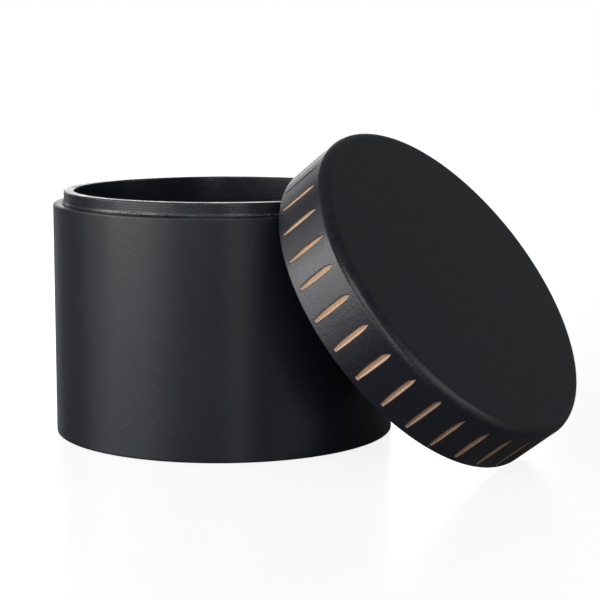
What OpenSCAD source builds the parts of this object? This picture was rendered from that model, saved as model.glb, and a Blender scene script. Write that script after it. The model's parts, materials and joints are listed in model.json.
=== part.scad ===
// Round lacquered wood canister for a poured candle, with a push-on cap lid.
// The canister is two glued tubes on a glued base disc. The inner tube stands proud of
// the outer one, so that it makes the neck and the ledge that the lid closes on.
// The lid is off: its rim stands on the table and its mouth leans on the neck.
// The origin is the middle of the underside, +Z is up and the lid leans out towards +X.

/* [Canister] */
// Outside diameter of the canister and of the lid
body_d = 100; // [97:1:104]
// Height of the outer wall, up to the ledge under the lid
wall_h = 67.7; // [66:0.1:70]
// Thickness of the outer wall
wall_t = 3.1; // [2.6:0.1:3.6]
// Thickness of the inner sleeve
sleeve_t = 3.0; // [2:0.1:4]
// Height of the neck, the sleeve's top end above the ledge
neck_h = 3.7; // [3:0.1:4.5]
// Thickness of the base disc
base_t = 6; // [4:0.5:10]

/* [Lid] */
// Height of the lid outside
lid_h = 18; // [16:0.5:24]
// Thickness of the lid's top
lid_top_t = 6; // [4:0.5:6]
// Gap all round between the neck and the lid's mouth
lid_gap = 0.4; // [0.3:0.05:0.5]
// Radius of the rounded edge of the lid's top
lid_round = 2.4; // [1:0.1:2.5]

/* [Carved notches] */
// Number of notches round the lid
notch_count = 34; // [12:1:40]
// Width of a notch at the surface
notch_w = 1.6; // [1.2:0.1:2.6]
// Depth of a notch
notch_depth = 0.9; // [0.6:0.1:1.4]
// Blunt end of a notch, above the lid's rim
notch_low = 1.7; // [1:0.1:4]
// Pointed end of a notch, above the lid's rim
notch_high = 14.3; // [13:0.1:15.5]
// Length over which the pointed end runs out
notch_run = 3.5; // [2:0.5:6]
// Turn of the notches round the lid
notch_turn = 0.5; // [0:0.1:10]

/* [Lean] */
// Angle between the leaning lid's axis and the vertical
lean_angle = 52.4; // [50:0.1:54]
// Sideways gap left where the lid leans on the neck
lean_gap = 0.45; // [0.4:0.05:0.6]

/* [Hidden] */
$fn = 180;

// Rounding of the canister's outer edges
wall_ease = 0.5;
// Rounding of the sleeve's top edges
neck_ease = 0.4;
// Bevel of the glue joint on the underside
base_ease = 0.3;
// Rounding of the rim's outer edge, and of the mouth inside it
rim_ease = 0.3;
mouth_ease = 1.0;
// Fillet where the lid's inside meets its top
inner_fillet = 1.0;
// How far a cutter runs past the surface that it cuts
past = 0.5;

body_r = body_d / 2;
neck_r = body_r - wall_t;
bore_r = neck_r - sleeve_t;
neck_top = wall_h + neck_h;
mouth_r = neck_r + lid_gap;
mouth_depth = lid_h - lid_top_t;

// Slope of a notch's bottom line along its pointed end
notch_slope = atan(notch_depth / notch_run);

// Height of the lid's mouth centre when its eased rim stands on the table
mouth_z = (body_r - rim_ease) * sin(lean_angle) + rim_ease * (1 - cos(lean_angle));

// The neck and the mouth meet half way round their eased edges
meet = 1 - cos(45);
neck_meet_r = neck_r - meet * neck_ease;
neck_meet_z = neck_top - meet * neck_ease;
mouth_meet_r = mouth_r + meet * mouth_ease;
mouth_meet_h = meet * mouth_ease;
// Distance up the mouth's slope, and to either side, from the lid's axis to where they meet
meet_up = (neck_meet_z - mouth_z - mouth_meet_h * cos(lean_angle)) / sin(lean_angle);
meet_side = sqrt(max(0, pow(mouth_meet_r, 2) - pow(meet_up, 2)));
// Distance from the canister's axis to the mouth's centre
lean_reach = sqrt(pow(neck_meet_r, 2) - pow(meet_side, 2)) + meet_up * cos(lean_angle)
    - mouth_meet_h * sin(lean_angle) + lean_gap;

// What is cut off a square corner at (x, y) of a ring's section to round it to radius r.
// The material lies on the side of the corner that the signs sx and sy give.
module corner(x, y, r, sx, sy) {
    translate([x, y])
        mirror([sx < 0 ? 1 : 0, 0])
            mirror([0, sy < 0 ? 1 : 0])
                difference() {
                    translate([-past, -past])
                        square([r + past, r + past]);
                    translate([r, r])
                        circle(r);
                }
}

module outer_wall() {
    color([0.10, 0.10, 0.11])
        rotate_extrude()
            difference() {
                translate([neck_r, 0])
                    square([wall_t, wall_h]);
                corner(body_r, wall_h, wall_ease, -1, -1);
                corner(body_r, 0, wall_ease, -1, 1);
                corner(neck_r, 0, base_ease, 1, 1);
            }
}

module inner_sleeve() {
    color([0.16, 0.16, 0.17])
        rotate_extrude()
            difference() {
                translate([bore_r, base_t])
                    square([sleeve_t, neck_top - base_t]);
                corner(neck_r, neck_top, neck_ease, -1, -1);
                corner(bore_r, neck_top, neck_ease, 1, -1);
            }
}

module base_disc() {
    color([0.13, 0.12, 0.12])
        rotate_extrude()
            difference() {
                square([neck_r, base_t]);
                corner(neck_r, 0, base_ease, -1, 1);
            }
}

// A long V whose bottom line is the Z axis and whose mouth is at x = reach
module v_groove(reach) {
    half = reach * notch_w / 2 / notch_depth;
    translate([0, 0, -lid_h])
        linear_extrude(2 * lid_h)
            polygon([[0, 0], [reach, -half], [reach, half]]);
}

// What one notch removes on the +X side: a level V as far as its blunt low end, which a
// second V, tilted outwards, runs out to a point at its high end
module notch() {
    intersection() {
        translate([body_r - notch_depth, 0, notch_low + lid_h])
            v_groove(notch_depth + past);
        translate([body_r - notch_depth, 0, notch_high - notch_run])
            rotate([0, notch_slope, 0])
                v_groove(lid_h);
    }
}

// The lid upright, with its mouth's centre at the origin
module upright_lid() {
    difference() {
        rotate_extrude()
            difference() {
                square([body_r, lid_h]);
                corner(body_r, lid_h, lid_round, -1, -1);
                corner(body_r, 0, rim_ease, -1, 1);
                corner(mouth_r, 0, mouth_ease, 1, 1);
                difference() {
                    translate([0, -past])
                        square([mouth_r, mouth_depth + past]);
                    corner(mouth_r, mouth_depth, inner_fillet, -1, -1);
                }
            }
        for (i = [0 : notch_count - 1])
            rotate(notch_turn + i * 360 / notch_count)
                notch();
    }
}

module lid() {
    color([0.11, 0.11, 0.12])
        translate([lean_reach, 0, mouth_z])
            rotate([0, lean_angle, 0])
                upright_lid();
}

outer_wall();
inner_sleeve();
base_disc();
lid();
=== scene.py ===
"""Looks for a black lacquered wood canister whose notched cap lid leans on its neck.

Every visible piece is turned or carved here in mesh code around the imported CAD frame, and
every material is procedural. Lengths are in metres. A piece's vertices carry attributes
that the materials read: "own", the vertex in the piece's own upright frame; "edge", how
worn the lacquer is there; and on the lid "cut": the place across a notch, -1 to 1 inside it
and 2 outside, the height above its blunt end in millimetres, and a number for each notch.
"""

import json
import math
import random

import bpy
from mathutils import Matrix, Vector, noise


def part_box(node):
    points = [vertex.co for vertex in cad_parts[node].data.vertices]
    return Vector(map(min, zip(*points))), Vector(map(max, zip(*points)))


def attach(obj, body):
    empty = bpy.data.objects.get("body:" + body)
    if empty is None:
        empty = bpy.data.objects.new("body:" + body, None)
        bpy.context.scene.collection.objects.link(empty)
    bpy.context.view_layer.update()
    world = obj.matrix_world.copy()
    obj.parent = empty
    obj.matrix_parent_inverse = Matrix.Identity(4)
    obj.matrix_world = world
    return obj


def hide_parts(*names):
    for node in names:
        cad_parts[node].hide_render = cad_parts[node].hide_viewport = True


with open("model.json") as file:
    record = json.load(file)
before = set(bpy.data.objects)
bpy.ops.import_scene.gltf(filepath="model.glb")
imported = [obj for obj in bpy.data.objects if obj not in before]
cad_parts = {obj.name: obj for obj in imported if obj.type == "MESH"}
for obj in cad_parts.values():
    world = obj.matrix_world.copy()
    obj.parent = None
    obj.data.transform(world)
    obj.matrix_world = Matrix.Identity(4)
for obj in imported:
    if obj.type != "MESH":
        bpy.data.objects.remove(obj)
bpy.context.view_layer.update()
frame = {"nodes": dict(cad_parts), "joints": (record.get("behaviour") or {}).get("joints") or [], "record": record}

MM = 0.001
SPOKES = 480
BASE_SPOKES = 240


# ---------------------------------------------------------------- sizes, from the frame

def box_radius(node):
    lo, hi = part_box(node)
    return (hi[1] - lo[1]) / 2


WALL_R = box_radius("outer_wall")
LEDGE_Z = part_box("outer_wall")[1][2]
NECK_R = box_radius("inner_sleeve")
NECK_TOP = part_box("inner_sleeve")[1][2]
BASE_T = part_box("base_disc")[1][2]
CAVITY = next(m for m in frame["record"]["mounts"] if m["name"] == "cavity")
BORE_R = CAVITY["dims"]["r_mm"] * MM

WALL_EASE = 0.5 * MM
QUIRK = 0.3 * MM
NECK_EASE = 0.4 * MM
POOL_OUT = 0.17 * MM
POOL_UP = 0.75 * MM
CRUST_AND_HIGHLIGHT_UP = 0.8 * MM
BASE_EASE = 0.3 * MM
LID_R = WALL_R
LID_H = 18 * MM
LID_ROUND = 2.4 * MM
LID_CREASE = 14
RIM_EASE = 0.3 * MM
MOUTH_R = NECK_R + 0.4 * MM
MOUTH_EASE = 1.0 * MM
MOUTH_DEPTH = 12 * MM
MOUTH_FILLET = 1.0 * MM

NOTCHES = 34
NOTCH_TURN = math.radians(0.5)
NOTCH_LOW = 1.7 * MM
NOTCH_HIGH = 14.3 * MM
NOTCH_RUN = 3.5 * MM
NOTCH_W = 1.6 * MM
NOTCH_DEPTH = 0.9 * MM
FAINT = 20
FAINT_ID = 2.0
# The direction, in the lid's frame, towards which notches are painted darker: a painted shade.
SHADE_TURN = math.radians(-30)


def lid_place():
    """The leaning lid's own frame: +Z out of its top, origin at the middle of its mouth."""
    joint = next(j for j in frame["joints"] if j["name"] == "lid_lift")
    up = Vector(joint["axis"]).normalized()
    down = Vector((up.z, 0, -up.x))
    side = Vector((0, 1, 0))
    verts = [v.co for v in frame["nodes"]["lid"].data.vertices]
    slope = [v.dot(down) for v in verts]
    centre = up * min(v.dot(up) for v in verts) + down * (min(slope) + max(slope)) / 2
    turn = Matrix((down, side, up)).transposed().to_4x4()
    return Matrix.Translation(centre) @ turn


# ---------------------------------------------------------------- turned pieces

def arc(x, z, r, start, end, steps=7, edge=1.0):
    """Points (radius, height, edge wear) of an arc, angles in degrees."""
    points = []
    for i in range(steps + 1):
        a = math.radians(start + (end - start) * i / steps)
        wear = edge * math.sin(math.pi * i / steps)
        points.append((x + r * math.cos(a), z + r * math.sin(a), wear))
    return points


def straight(start, end, steps, wobble=0.0, pitch=0.3 * MM, seed=0.0):
    """Points along a turned line, with the tool's faint rings across it."""
    (x0, z0), (x1, z1) = start, end
    length = math.hypot(x1 - x0, z1 - z0)
    nx, nz = (z1 - z0) / length, -(x1 - x0) / length
    points = []
    for i in range(steps + 1):
        t = i / steps
        fade = min(1.0, 8 * t, 8 * (1 - t))
        push = wobble * fade * noise.noise(Vector((t * length / pitch, seed, 0.5)))
        points.append((x0 + t * (x1 - x0) + push * nx, z0 + t * (z1 - z0) + push * nz, 0.0))
    return points


def make_object(name, verts, faces, own, edge, place, cut=None):
    mesh = bpy.data.meshes.new(name)
    mesh.from_pydata([place @ Vector(v) for v in verts], [], faces)
    mesh.shade_smooth()
    attribute = mesh.attributes.new("own", "FLOAT_VECTOR", "POINT")
    attribute.data.foreach_set("vector", [c for v in own for c in v])
    attribute = mesh.attributes.new("edge", "FLOAT", "POINT")
    attribute.data.foreach_set("value", edge)
    if cut:
        attribute = mesh.attributes.new("cut", "FLOAT_VECTOR", "POINT")
        attribute.data.foreach_set("vector", [c for v in cut for c in v])
    obj = bpy.data.objects.new(name, mesh)
    bpy.context.scene.collection.objects.link(obj)
    return obj


def turn(name, loop, closed=True, bend=None, spokes=SPOKES):
    """Turns a section of (radius, height, wear) points round the Z axis.

    A closed section makes a ring. An open one starts and ends near the axis, where a flat
    face closes it. bend(r, z, angle) may move a point a little, for hand-made unevenness.
    """
    verts, edge = [], []
    for r, z, wear in loop:
        for k in range(spokes):
            a = 2 * math.pi * k / spokes
            rr, zz = bend(r, z, a) if bend else (r, z)
            verts.append((rr * math.cos(a), rr * math.sin(a), zz))
            edge.append(wear)
    rows = len(loop)
    faces = []
    for i in range(rows if closed else rows - 1):
        j = (i + 1) % rows
        for k in range(spokes):
            n = (k + 1) % spokes
            faces.append((i * spokes + k, i * spokes + n, j * spokes + n, j * spokes + k))
    if not closed:
        faces.append(tuple(reversed(range(spokes))))
        faces.append(tuple((rows - 1) * spokes + k for k in range(spokes)))
    return make_object(name, verts, faces, verts, edge, Matrix.Identity(4))


def outer_wall():
    """The outer tube: eased foot and ledge edges, and a narrow quirk where the neck rises."""
    r, top, e = WALL_R, LEDGE_Z, WALL_EASE
    hold = 0.35 * MM
    loop = arc(NECK_R + BASE_EASE, BASE_EASE, BASE_EASE, 180, 270, 4, 0.5)
    loop += [(NECK_R + BASE_EASE + hold, 0, 0), (r - e - hold, 0, 0)]
    loop += arc(r - e, e, e, -90, 0)
    loop += straight((r, e + hold), (r, top - e - hold), 60, 0.006 * MM, 3 * MM, 3.0)
    loop += arc(r - e, top - e, e, 0, 90)
    loop += [(r - e - hold, top, 0), (NECK_R + 1.3 * MM, top, 0)]
    loop += arc(NECK_R + QUIRK, top, QUIRK, 0, -90, 4, 0.0)
    loop += [(NECK_R, top - QUIRK, 0), (NECK_R, top - QUIRK - hold, 0)]
    loop += [(NECK_R, BASE_EASE + hold, 0)]
    return turn("canister_wall", loop)


def neck_foot(r, z, a):
    """Lacquer pooled along the neck's foot, left lumpy round the ring by the brush."""
    height = (z - LEDGE_Z) / MM
    spread = r - NECK_R
    if height < -0.01 or height > 1.0 or spread < 0.005 * MM:
        return r, z
    slow = noise.noise(Vector((9 * math.cos(a), 9 * math.sin(a), height)))
    fine = noise.noise(Vector((70 * math.cos(a), 70 * math.sin(a), 3 * height)))
    return NECK_R + spread * (1 + 0.5 * slow + 0.6 * fine), z


def inner_sleeve():
    """The inner tube, whose top end stands proud as the neck with its tool rings."""
    r, bore, top, e = NECK_R, BORE_R, NECK_TOP, NECK_EASE
    hold, step = 0.25 * MM, 0.1 * MM
    loop = [(bore, BASE_T, 0), (bore + hold, BASE_T, 0), (r - hold, BASE_T, 0), (r, BASE_T, 0)]
    loop += [(r, BASE_T + hold, 0), (r, LEDGE_Z - hold, 0), (r, LEDGE_Z, 0)]
    loop += straight((r + POOL_OUT, LEDGE_Z), (r + 0.01 * MM, LEDGE_Z + POOL_UP), 8)
    loop += straight((r, LEDGE_Z + POOL_UP + step), (r, top - e - step), 44,
                     0.012 * MM, 0.22 * MM, 7.0)
    loop += arc(r - e, top - e, e, 0, 90, 7)
    loop += straight((r - e - step, top), (bore + e + step, top), 20,
                     0.006 * MM, 0.35 * MM, 11.0)
    loop += arc(bore + e, top - e, e, 90, 180, 7)
    loop += straight((bore, top - e - hold), (bore, BASE_T + hold), 96,
                     0.010 * MM, 1.3 * MM, 5.0)
    return turn("neck_sleeve", loop, bend=neck_foot)


def base_disc():
    """The glued-in bottom: faced off on a lathe above, bevelled at its glue joint below."""
    r, e = NECK_R, BASE_EASE
    hold = 0.3 * MM
    centre = 0.5 * MM
    loop = straight((centre, 0), (r - e - hold, 0), 150, 0.014 * MM, 0.6 * MM, 2.0)
    loop += arc(r - e, e, e, -90, 0, 4, 0.5)
    loop += [(r, e + hold, 0), (r, BASE_T - hold, 0), (r, BASE_T, 0), (r - hold, BASE_T, 0)]
    loop += straight((BORE_R, BASE_T), (centre, BASE_T), 150, 0.016 * MM, 0.7 * MM, 9.0)
    return turn("base_board", loop, closed=False, spokes=BASE_SPOKES)


# ---------------------------------------------------------------- the notched lid

# Columns of vertices at each notch: places across it, and shares of the way from its rim to
# the middle of the land beside it. THIN is the notch's width where it has run out.
INSIDE = (-1.0, -0.85, -0.6, -0.3, 0.0, 0.25, 0.38, 0.5, 0.65, 0.85, 1.0)
OUTSIDE = (0.07, 0.16, 0.35, 0.7)
OFF_NOTCH = 2.0
THIN = 0.05 * MM


def notch_habits():
    """How one carver's notches differ, seeded. One is faint, and is coloured near-black inside."""
    rng = random.Random(41)
    habits = []
    for _ in range(NOTCHES):
        habits.append({
            "low": NOTCH_LOW + rng.gauss(0, 0.12) * MM,
            "high": NOTCH_HIGH + rng.gauss(0, 0.22) * MM,
            "width": NOTCH_W * (1 + rng.gauss(0, 0.08)),
            "depth": NOTCH_DEPTH * (1 + rng.gauss(0, 0.07)),
            "lean": rng.gauss(0, 0.012),
            "aside": rng.gauss(0, 0.10) * MM,
            "run": NOTCH_RUN * (1 + rng.gauss(0, 0.18)),
            "valley": rng.gauss(0.42, 0.07),
            "id": rng.random(),
        })
    habits[FAINT].update(id=FAINT_ID, width=0.55 * NOTCH_W, depth=0.5 * NOTCH_DEPTH)
    return habits


def run_out(t, habit):
    """Share of the full depth at t, 0 at the blunt end and 1 at the pointed end."""
    span = habit["high"] - habit["low"]
    left = (1 - t) * span / habit["run"]
    if left >= 1:
        return 1.0
    return max(0.0, 1 - (1 - left) ** 2.1)


def notch_half(t, habit):
    """Half the width of the notch's outline at t."""
    if t > 1:
        return THIN / 2
    start = 0.62 + 0.38 * math.sin(math.pi / 2 * min(1.0, max(t, 0.0) / 0.42))
    return max(THIN / 2, habit["width"] / 2 * start * run_out(max(t, 0.0), habit))


def valley(u, habit):
    """Depth across the notch, 0 at its edges and 1 along its bottom line."""
    bottom = habit["valley"]
    side = (u - bottom) / ((1 - bottom) if u > bottom else (1 + bottom))
    softness = 0.12
    rise = math.sqrt(side * side + softness * softness) - softness
    return 1 - rise / (math.sqrt(1 + softness * softness) - softness)


def side_rows():
    """Rows down the lid's side: place t along a notch, and whether the notch is cut there.

    t is 1 at the pointed end, and the rows crowd together towards it.
    """
    rows = [(1.02, False), (1.0, False)]
    rows += [(1 - 0.012 * i - 0.0012 * i * i, True) for i in range(1, 13)]
    last = rows[-1][0]
    rows += [(last + (0.10 - last) * i / 14, True) for i in range(1, 15)]
    rows += [(t, True) for t in (0.075, 0.05, 0.035, 0.022)]
    rows += [(0.0, False), (-0.02, False), (-0.07, False)]
    return rows


def lid_rows():
    """The lid's section from the middle of its top to the middle of its ceiling.

    Each row is radius, height, wear and, on the side where the notches are, its side row.
    """
    r, h, e = LID_R, LID_H, RIM_EASE
    hold, crisp = 0.3 * MM, 0.04 * MM
    crown = LID_ROUND / (1 - math.sin(math.radians(LID_CREASE)))
    inset = crown * math.cos(math.radians(LID_CREASE))
    top = [(x * r, h, 0.0) for x in (0.25, 0.5, 0.75, 0.9)]
    top += [(r - inset - hold, h, 0.0)]
    top += list(reversed(arc(r - inset, h - crown, crown, LID_CREASE, 90, 14, 0.5)))
    top += [(r, h - LID_ROUND - crisp, 0.0)]
    rows = [(x, z, wear, None) for x, z, wear in top]
    rows += [(r, None, 0.0, row) for row in side_rows()]
    low = [(r, e + hold, 0)]
    low += list(reversed(arc(r - e, e, e, -90, 0, 6)))
    m, b, deep, fillet = MOUTH_R, MOUTH_EASE, MOUTH_DEPTH, MOUTH_FILLET
    low += [(r - e - hold / 2, 0, 0), (m + b + hold / 2, 0, 0)]
    low += list(reversed(arc(m + b, b, b, 180, 270, 7, 0.8)))
    low += straight((m, b + hold), (m, deep - fillet - hold), 20, 0.010 * MM, 0.9 * MM, 4.0)
    low += arc(m - fillet, deep - fillet, fillet, 0, 90, 7, 0)
    low += straight((m - fillet - hold, deep), (m * 0.1, deep), 40, 0.014 * MM, 2.4 * MM, 6.0)
    return rows + [(x, z, wear, None) for x, z, wear in low]


def lid():
    """The lid, with notches whose outlines, flanks and ends are all real geometry."""
    rows = lid_rows()
    habits = notch_habits()
    half_sector = math.pi / NOTCHES
    per = len(INSIDE) + 2 * len(OUTSIDE) + 1
    columns = per * NOTCHES
    first_in = 1 + len(OUTSIDE)
    last_in = first_in + len(INSIDE) - 1
    upright, edge, cut = [], [], []
    open_rows = [i for i, row in enumerate(rows) if row[3] and row[3][1]]
    for x, z, wear, side in rows:
        t, is_open = side if side else (None, False)
        carved = t is not None and 0 <= t <= 1
        for k, habit in enumerate(habits):
            centre = NOTCH_TURN + k * 2 * half_sector
            if t is None:
                here_t = 1.0 if z > LID_H / 2 else 0.0
                calm_z = notch_z = z
            else:
                here_t = t
                calm_z = NOTCH_LOW + t * (NOTCH_HIGH - NOTCH_LOW)
                notch_z = habit["low"] + t * (habit["high"] - habit["low"])
            middle = centre
            half = notch_half(here_t, habit) / LID_R
            if 0 <= here_t <= 1:
                middle += (habit["aside"] + habit["lean"] * (notch_z - LID_H / 2)) / LID_R
                middle += habit["valley"] * (habit["width"] / 2 / LID_R - half)
            depth = habit["depth"] * run_out(here_t, habit) if is_open else 0.0
            lefts = [(centre - half_sector, calm_z)]
            for share in reversed(OUTSIDE):
                a = (middle - half) * (1 - share) + (centre - half_sector) * share
                lefts.append((a, notch_z * (1 - share) + calm_z * share))
            rights = []
            for share in OUTSIDE:
                a = (middle + half) * (1 - share) + (centre + half_sector) * share
                rights.append((a, notch_z * (1 - share) + calm_z * share))
            inner = [(middle + half * u, notch_z) for u in INSIDE]
            for c, (a, zz) in enumerate(lefts + inner + rights):
                inside = carved and first_in <= c <= last_in
                u = INSIDE[c - first_in] if inside else OFF_NOTCH
                sink = depth * valley(u, habit) if abs(u) < 1 else 0.0
                rr = x - sink
                upright.append((rr * math.cos(a), rr * math.sin(a), zz))
                edge.append(wear)
                cut.append((u, (zz - habit["low"]) / MM, habit["id"]))
    faces, bare = [], []
    for i in range(len(rows) - 1):
        for c in range(columns):
            n = (c + 1) % columns
            here, below = i * columns, (i + 1) * columns
            faces.append((here + c, below + c, below + n, here + n))
            in_notch = first_in <= c % per < last_in
            cut_here = i in open_rows or i + 1 in open_rows
            bare.append(1 if in_notch and cut_here else 0)
    faces.append(tuple(range(columns)))
    faces.append(tuple((len(rows) - 1) * columns + c for c in reversed(range(columns))))
    bare += [0, 0]
    place = lid_place()
    obj = make_object("lid_cap", upright, faces, upright, edge, place, cut)
    obj.data.polygons.foreach_set("material_index", bare)
    sharpen(obj.data, bare)
    return obj


def sharpen(mesh, bare):
    """Keeps the rim of every notch crisp: an edge between bare wood and lacquer is sharp."""
    seen = {}
    for polygon in mesh.polygons:
        for key in polygon.edge_keys:
            seen.setdefault(key, set()).add(bare[polygon.index])
    for e in mesh.edges:
        e.use_edge_sharp = len(seen[e.key]) > 1


# ---------------------------------------------------------------- materials

class Nodes:
    """A material's node tree, built one call per node."""

    def __init__(self, name):
        self.material = bpy.data.materials.new(name)
        self.material.use_nodes = True
        self.tree = self.material.node_tree
        self.tree.nodes.clear()
        self.output = self.tree.nodes.new("ShaderNodeOutputMaterial")

    def add(self, kind, settings=None, **inputs):
        """Adds a node. An input goes by its name, with _ for a space, or by i and its number."""
        made = self.tree.nodes.new("ShaderNode" + kind)
        for key, value in (settings or {}).items():
            setattr(made, key, value)
        for key, value in inputs.items():
            name = int(key[1:]) if key[1:].isdigit() else key.replace("_", " ")
            self.put(made.inputs[name], value)
        return made

    def put(self, socket, value):
        if isinstance(value, bpy.types.NodeSocket):
            self.tree.links.new(value, socket)
        else:
            socket.default_value = value

    def math(self, operation, a, b=0.0, clamp=False):
        return self.add("Math", {"operation": operation, "use_clamp": clamp}, i0=a, i1=b).outputs[0]

    def own(self):
        return self.add("Attribute", {"attribute_name": "own"}).outputs["Vector"]

    def value(self, name):
        return self.add("Attribute", {"attribute_name": name}).outputs["Fac"]

    def noise(self, vector, scale, detail=3.0, roughness=0.5, distortion=0.0):
        made = self.add("TexNoise", None, Vector=vector, Scale=scale, Detail=detail,
                        Roughness=roughness, Distortion=distortion)
        return made.outputs["Fac"]

    def band(self, value, low, high, to_low=0.0, to_high=1.0):
        made = self.add("MapRange", None, Value=value)
        made.inputs["From Min"].default_value = low
        made.inputs["From Max"].default_value = high
        made.inputs["To Min"].default_value = to_low
        made.inputs["To Max"].default_value = to_high
        return made.outputs["Result"]

    def mix(self, factor, a, b):
        made = self.add("Mix", {"data_type": "RGBA"})
        self.put(made.inputs[0], factor)
        self.put(made.inputs[6], a)
        self.put(made.inputs[7], b)
        return made.outputs[2]

    def stretch(self, vector, x, y, z):
        return self.add("VectorMath", {"operation": "MULTIPLY"}, i0=vector, i1=(x, y, z)).outputs[0]

    def bump(self, height, distance, strength=1.0, normal=None):
        made = self.add("Bump", None, Height=height, Distance=distance, Strength=strength)
        if normal is not None:
            self.put(made.inputs["Normal"], normal)
        return made.outputs["Normal"]

    def finish(self, shader):
        self.tree.links.new(shader.outputs[0], self.output.inputs["Surface"])
        return self.material


BLACK = (0.0100, 0.0108, 0.0175, 1)
BLACK_WORN = (0.040, 0.038, 0.037, 1)
BASE_BLACK = (0.020, 0.018, 0.018, 1)
DUST = (0.07, 0.07, 0.075, 1)
# Pale crusted patches on the neck's foot, partly a painted highlight.
CRUST_AND_HIGHLIGHT = (0.17, 0.17, 0.172, 1)
# Brown along the notch rims on the lacquer, partly tool damage, partly a painted shadow.
SCORCH_AND_SHADOW = (0.030, 0.014, 0.009, 1)

WOOD_LIGHT = (0.94, 0.67, 0.48, 1)
WOOD_MIDDLE = (0.85, 0.59, 0.41, 1)
WOOD_GRAIN = (0.58, 0.34, 0.205, 1)
WOOD_TORN = (0.93, 0.74, 0.58, 1)
# A painted highlight: the paler lower flank of each notch.
WOOD_FLANK_HIGHLIGHT = (0.95, 0.78, 0.64, 1)
WOOD_PORE = (0.240, 0.125, 0.070, 1)
# Pale grey at the notch tips, partly fuzzy wood, partly a painted highlight.
WOOD_FUZZ_AND_HIGHLIGHT = (0.62, 0.56, 0.51, 1)
# A painted shade: darker brown for notches towards two opposite sides of the lid.
WOOD_SHADE = (0.215, 0.106, 0.054, 1)
# Dark brown on the notch rims, partly stained wood, partly painted shade.
WOOD_STAIN_AND_SHADE = (0.050, 0.024, 0.016, 1)
# Near-black inside the faint notch.
FAINT_NOTCH_DARK = (0.022, 0.018, 0.017, 1)


def turned_coordinates(n):
    """The place in the piece's own frame, x, y and z, and the radius from its axis."""
    split = n.add("SeparateXYZ", None, Vector=n.own())
    x, y, z = split.outputs
    radius = n.math("SQRT", n.math("ADD", n.math("MULTIPLY", x, x), n.math("MULTIPLY", y, y)))
    return x, y, z, radius


def rings(n, along, pitch, round_trip=6.0, detail=4.0):
    """Noise that changes fast along the section and slowly round the axis."""
    x, y, _, radius = turned_coordinates(n)
    ux = n.math("DIVIDE", x, n.math("MAXIMUM", radius, 1e-4))
    uy = n.math("DIVIDE", y, n.math("MAXIMUM", radius, 1e-4))
    place = n.add("CombineXYZ", None, X=n.math("MULTIPLY", ux, round_trip),
                  Y=n.math("MULTIPLY", uy, round_trip), Z=n.math("DIVIDE", along, pitch))
    return n.noise(place.outputs[0], 1.0, detail, 0.6)


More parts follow.
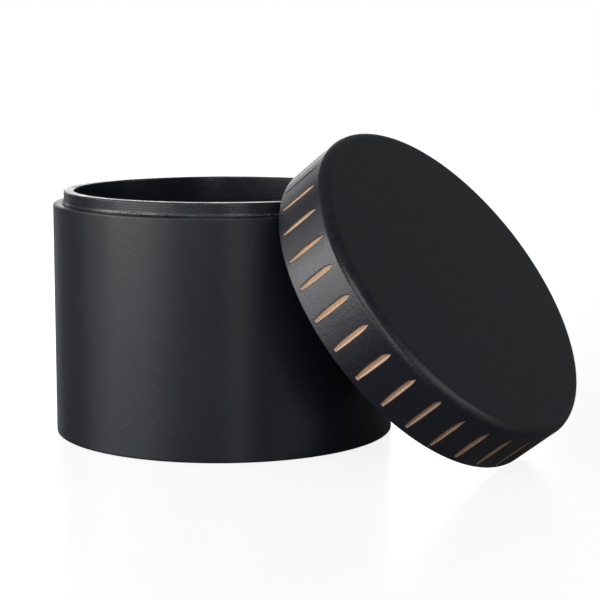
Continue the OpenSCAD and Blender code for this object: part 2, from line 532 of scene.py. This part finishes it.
def lacquer(name, rough=0.30, peel=0.4, ring_pitch=None, ring_axis="z", ring_depth=0.0,
            grain=0.25, tint=BLACK, pooled=None, notched=False):
    """Satin black lacquer: orange peel, faint grain under it, dust, and rubbed edges.

    peel, grain and ring_depth are how far those stand out. pooled is a band of heights where
    broken pale patches are painted on the outside: partly dusty crusted lacquer, partly a painted
    highlight along the neck's foot. notched darkens the lacquer brown along every notch's rim:
    partly where the carver's tool broke it, partly a painted shadow along the rim.
    """
    n = Nodes(name)
    own = n.own()
    _, _, z, radius = turned_coordinates(n)
    cloud = n.noise(own, 38, 4, 0.55)
    dust = n.band(n.noise(own, 2600, 2, 0.7), 0.70, 0.80)
    rubbed = n.band(n.noise(own, 420, 4, 0.65), 0.47, 0.66)
    rubbed = n.math("MULTIPLY", n.value("edge"), rubbed, clamp=True)
    color = n.mix(n.band(cloud, 0.3, 0.7), tint, tuple(c * 1.22 for c in tint[:3]) + (1,))
    color = n.mix(n.math("MULTIPLY", dust, 0.25), color, DUST)
    color = n.mix(n.math("MULTIPLY", rubbed, 0.75), color, BLACK_WORN)
    roughness = n.band(cloud, 0.25, 0.75, rough - 0.035, rough + 0.035)
    roughness = n.math("ADD", roughness, n.math("MULTIPLY", n.noise(own, 900, 2), 0.05))
    if pooled:
        low, high = pooled
        zone = n.math("MULTIPLY", n.band(z, low, low + 0.2 * MM),
                      n.band(z, high - 0.25 * MM, high, 1.0, 0.0))
        outside = n.band(radius, NECK_R - 1.0 * MM, NECK_R - 0.5 * MM)
        zone = n.math("MULTIPLY", zone, outside)
        patches = n.band(n.noise(own, 48, 2), 0.44, 0.62, 0.12, 1.0)
        broken = n.band(n.noise(own, 1500, 3, 0.6), 0.42, 0.60)
        # Painted highlight: pale broken patches along the neck's foot, partly dusty crusted lacquer, partly light
        # caught there.
        crust_and_highlight = n.math("MULTIPLY", zone, n.math("MULTIPLY", patches, broken))
        color = n.mix(crust_and_highlight, color, CRUST_AND_HIGHLIGHT)
    if notched:
        cut = n.add("Attribute", {"attribute_name": "cut"}).outputs["Vector"]
        across = n.math("ABSOLUTE", n.add("SeparateXYZ", None, Vector=cut).outputs[0])
        torn = n.band(n.noise(own, 2200, 3), 0.30, 0.60, 0.3, 1.0)
        # Painted shadow: a brown band on the lacquer along each notch's rim, partly tool damage, partly painted
        # edge shadow.
        scorch_and_shadow = n.math("MULTIPLY", n.band(across, 1.35, 1.9, 1.0, 0.0), torn)
        color = n.mix(scorch_and_shadow, color, SCORCH_AND_SHADOW)
        roughness = n.math("ADD", roughness, n.math("MULTIPLY", scorch_and_shadow, 0.45))
    fibres = n.noise(n.stretch(own, 260, 2600, 2600), 1.0, 3, 0.6)
    peel_noise = n.noise(own, 1150, 2, 0.5)
    normal = n.bump(fibres, 0.010 * MM * grain, 1.0)
    normal = n.bump(peel_noise, 0.075 * MM * peel, 1.0, normal)
    if ring_pitch:
        along = z if ring_axis == "z" else radius
        lines = rings(n, along, ring_pitch)
        normal = n.bump(lines, ring_depth, 1.0, normal)
        roughness = n.math("ADD", roughness, n.band(lines, 0.35, 0.65, -0.05, 0.06))
    shader = n.add("BsdfPrincipled", None, Base_Color=color, Roughness=roughness, Normal=normal)
    shader.inputs["Specular IOR Level"].default_value = 0.45
    shader.inputs["Coat Weight"].default_value = 0.12
    shader.inputs["Coat Roughness"].default_value = 0.18
    return n.finish(shader)


def bare_wood():
    """Tan wood where the notches cut through: grain and tool chatter; rims darkened, partly stained
    wood and partly painted shade; lower flanks painted paler, a painted highlight; pale fuzzy
    tips, partly painted highlight; and notches painted darker towards two opposite sides of the
    lid, a painted shade.
    """
    n = Nodes("bare_notch_wood")
    own = n.own()
    cut = n.add("Attribute", {"attribute_name": "cut"}).outputs["Vector"]
    across, along, which = n.add("SeparateXYZ", None, Vector=cut).outputs
    grain_place = n.add("CombineXYZ", None, X=n.math("MULTIPLY", across, 5.0),
                        Y=n.math("MULTIPLY", along, 0.55), Z=n.math("MULTIPLY", which, 40.0))
    grain = n.noise(grain_place.outputs[0], 1.0, 5, 0.65, 0.3)
    chatter_place = n.add("CombineXYZ", None, X=n.math("MULTIPLY", across, 0.5),
                          Y=n.math("MULTIPLY", along, 5.5), Z=n.math("MULTIPLY", which, 17.0))
    chatter = n.noise(chatter_place.outputs[0], 1.0, 3, 0.7)
    pores = n.band(n.noise(n.stretch(own, 1500, 1500, 5200), 1.0, 2, 0.6), 0.60, 0.72)
    light = n.mix(n.band(which, 0.0, 1.0), WOOD_LIGHT, WOOD_MIDDLE)
    color = n.mix(n.band(grain, 0.30, 0.70), WOOD_GRAIN, light)
    color = n.mix(n.math("MULTIPLY", n.band(chatter, 0.35, 0.7), 0.40), color, WOOD_TORN)
    # Painted highlight: the lower flank of every notch is painted paler, as if lit.
    color = n.mix(n.math("MULTIPLY", n.band(across, 0.36, 0.50), 0.45), color, WOOD_FLANK_HIGHLIGHT)
    color = n.mix(n.math("MULTIPLY", pores, 0.45), color, WOOD_PORE)
    # Partly painted highlight: both tips of every notch are painted pale grey, partly fuzzy torn wood.
    ends = n.math("ADD", n.band(along, 0.2, 0.9, 1.0, 0.0), n.band(along, 10.9, 12.0))
    color = n.mix(n.math("MULTIPLY", ends, 0.65), color, WOOD_FUZZ_AND_HIGHLIGHT)
    x, y, _, radius = turned_coordinates(n)
    # Painted shade: the notches are darkened towards one side of the lid and the opposite side.
    toward = n.math("ADD", n.math("MULTIPLY", x, math.cos(SHADE_TURN)),
                    n.math("MULTIPLY", y, math.sin(SHADE_TURN)))
    toward = n.math("DIVIDE", toward, radius)
    side_shade = n.band(n.math("MULTIPLY", toward, toward), 0.62, 0.97)
    color = n.mix(n.math("MULTIPLY", side_shade, 0.62), color, WOOD_SHADE)
    # Painted shade: the rims of every notch are darkened, the upper flank most, partly stained wood.
    upper = n.band(across, -0.82, -0.62, 1.0, 0.0)
    lower = n.band(across, 0.84, 0.94)
    smear = n.band(n.noise(own, 1800, 3), 0.25, 0.60, 0.7, 1.0)
    stain_and_shade = n.math("MULTIPLY", n.math("MAXIMUM", upper, lower), smear)
    color = n.mix(n.math("MULTIPLY", stain_and_shade, 0.95), color, WOOD_STAIN_AND_SHADE)
    # The faint notch is coloured near-black inside.
    color = n.mix(n.band(which, 1.2, 1.6), color, FAINT_NOTCH_DARK)
    normal = n.bump(chatter, 0.06 * MM, 1.0)
    normal = n.bump(grain, 0.04 * MM, 1.0, normal)
    shader = n.add("BsdfPrincipled", None, Base_Color=color, Roughness=0.62, Normal=normal)
    shader.inputs["Specular IOR Level"].default_value = 0.35
    return n.finish(shader)


FLOOR_DARK = (0.22, 0.22, 0.22, 1)
FLOOR_PALE = (0.25, 0.25, 0.25, 1)


def floor_sheet():
    """A satin sheet under the object, which glows white to the camera only, a painted light.

    Its glow is painted a little dimmer around the object, a painted shade, so that its shadow and
    reflection show.
    """
    n = Nodes("pale_floor")
    place = n.add("TexCoord").outputs["Object"]
    fibre = n.noise(place, 900, 3)
    color = n.mix(n.band(fibre, 0.3, 0.7), FLOOR_DARK, FLOOR_PALE)
    sheet = n.add("BsdfPrincipled", None, Base_Color=color, Roughness=0.25)
    sheet.inputs["Specular IOR Level"].default_value = 0.25
    far = n.add("VectorMath", {"operation": "LENGTH"}, i0=place).outputs["Value"]
    # Painted shade: the floor's glow is dimmer within 0.9 m of the object; the glow itself is painted light seen
    # only by the camera.
    level = n.band(far, 0.15, 0.9, 0.86, 1.0)
    seen = n.add("LightPath").outputs["Is Camera Ray"]
    glow = n.add("Emission", None, Color=(1, 1, 1, 1), Strength=n.math("MULTIPLY", seen, level))
    return n.finish(n.add("AddShader", None, i0=sheet.outputs[0], i1=glow.outputs[0]))


# ---------------------------------------------------------------- the object

def dress(obj, body, node, slot, *materials):
    """Gives a piece its materials, and says which body it rides on and which node it replaces."""
    for material in materials:
        obj.data.materials.append(material)
    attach(obj, body)
    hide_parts(node)


def build_object():
    wall = lacquer("wall_lacquer")
    sleeve = lacquer("sleeve_lacquer", rough=0.24, ring_pitch=0.16 * MM, ring_depth=0.012 * MM,
                     pooled=(LEDGE_Z, LEDGE_Z + CRUST_AND_HIGHLIGHT_UP))
    base = lacquer("base_stain", rough=0.55, peel=0.4, ring_pitch=0.35 * MM, ring_axis="radius",
                   ring_depth=0.02 * MM, grain=2.5, tint=BASE_BLACK)
    cap = lacquer("lid_lacquer", rough=0.28, peel=0.9, notched=True)
    dress(outer_wall(), "canister", "outer_wall", "wall_lacquer", wall)
    dress(inner_sleeve(), "canister", "inner_sleeve", "sleeve_lacquer", sleeve)
    dress(base_disc(), "canister", "base_disc", "base_lacquer", base)
    dress(lid(), "lid", "lid", "lid_lacquer", cap, bare_wood())


# ---------------------------------------------------------------- floor, light, camera

FLOOR_RINGS = (0.4, 1.0, 2.5)
FLOOR_SIDES = 64
FLOOR_GAP = 0.0001

AIM = (0.02, 0, 0.04)
LIGHT_REACH = 1.3
ROOM_LIGHT = 0.14

# name, azimuth and elevation in degrees, width and height in metres, watts
LIGHTS = (
    ("key", -31, 7, 0.7, 0.6, 2.9),
    ("key_wide", -24, 8, 1.1, 0.5, 2.6),
    ("left", -56, 10, 0.6, 0.6, 1.2),
    ("left_high", -54, 17, 0.45, 0.3, 1.8),
    ("front", 4, 9, 1.1, 0.5, 1.5),
    ("front_right", 42, 12, 0.3, 0.5, 1.3),
    ("low_right", 78, 6, 0.6, 0.5, 0.8),
    ("side_right", 102, 15, 0.8, 0.6, 1.7),
    ("over_camera", 20, 34, 0.8, 0.4, 2.8),
    ("over_left", -60, 40, 0.8, 0.7, 1.2),
    ("left_far", -78, 22, 0.3, 0.3, 0.3),
    ("back_left", -129, 12, 0.95, 0.55, 1.05),
    ("rim_back", -148, 8, 0.5, 0.2, 0.5),
)


def floor():
    """A round floor just under the object, wide enough to reach past the picture."""
    verts = [(0, 0, 0)]
    faces = []
    for r in FLOOR_RINGS:
        for k in range(FLOOR_SIDES):
            a = 2 * math.pi * k / FLOOR_SIDES
            verts.append((r * math.cos(a), r * math.sin(a), 0))
    for k in range(FLOOR_SIDES):
        n = (k + 1) % FLOOR_SIDES
        faces.append((0, 1 + k, 1 + n))
        for i in range(len(FLOOR_RINGS) - 1):
            a, b = 1 + i * FLOOR_SIDES, 1 + (i + 1) * FLOOR_SIDES
            faces.append((a + k, b + k, b + n, a + n))
    mesh = bpy.data.meshes.new("floor")
    mesh.from_pydata(verts, [], faces)
    obj = bpy.data.objects.new("floor", mesh)
    bpy.context.scene.collection.objects.link(obj)
    obj.location.z = -FLOOR_GAP
    obj.data.materials.append(floor_sheet())


def softbox(name, azimuth, elevation, width, height, power):
    """A rectangular studio light aimed at the object. Azimuth 0 is towards -Y, 90 towards +X."""
    a, e = math.radians(azimuth), math.radians(elevation)
    data = bpy.data.lights.new(name, "AREA")
    data.shape = "RECTANGLE"
    data.size, data.size_y, data.energy = width, height, power
    obj = bpy.data.objects.new(name, data)
    back = Vector((math.sin(a) * math.cos(e), -math.cos(a) * math.cos(e), math.sin(e)))
    obj.location = Vector(AIM) + back * LIGHT_REACH
    obj.rotation_mode = "QUATERNION"
    obj.rotation_quaternion = back.to_track_quat("Z", "Y")
    bpy.context.scene.collection.objects.link(obj)


def room():
    """A dim studio behind the lights, in front of a white backdrop that the camera sees."""
    world = bpy.data.worlds.new("studio")
    world.use_nodes = True
    tree = world.node_tree
    background = tree.nodes["Background"]
    background.inputs["Color"].default_value = (1, 1, 1, 1)
    seen = tree.nodes.new("ShaderNodeLightPath").outputs["Is Camera Ray"]
    level = tree.nodes.new("ShaderNodeMapRange")
    level.inputs["To Min"].default_value = ROOM_LIGHT
    level.inputs["To Max"].default_value = 1.0
    tree.links.new(seen, level.inputs["Value"])
    tree.links.new(level.outputs["Result"], background.inputs["Strength"])
    bpy.context.scene.world = world


def camera():
    """A long lens, seen from the canister's side of the leaning lid and a little above."""
    azimuth, reach, height = math.radians(34.32), 0.54325, 0.11778
    heading, pitch = math.radians(31.93), math.radians(8.356)
    data = bpy.data.cameras.new("camera")
    data.sensor_width = 36
    data.lens = 110.4
    obj = bpy.data.objects.new("camera", data)
    obj.location = (reach * math.sin(azimuth), -reach * math.cos(azimuth), height)
    forward = Vector((-math.sin(heading) * math.cos(pitch), math.cos(heading) * math.cos(pitch),
                      -math.sin(pitch)))
    obj.rotation_mode = "QUATERNION"
    obj.rotation_quaternion = forward.to_track_quat("-Z", "Y")
    data.clip_start, data.clip_end = 0.01, 20
    bpy.context.scene.collection.objects.link(obj)
    bpy.context.scene.camera = obj


build_object()
floor()
room()
for light in LIGHTS:
    softbox(*light)
camera()
bpy.context.scene.view_settings.view_transform = "Standard"
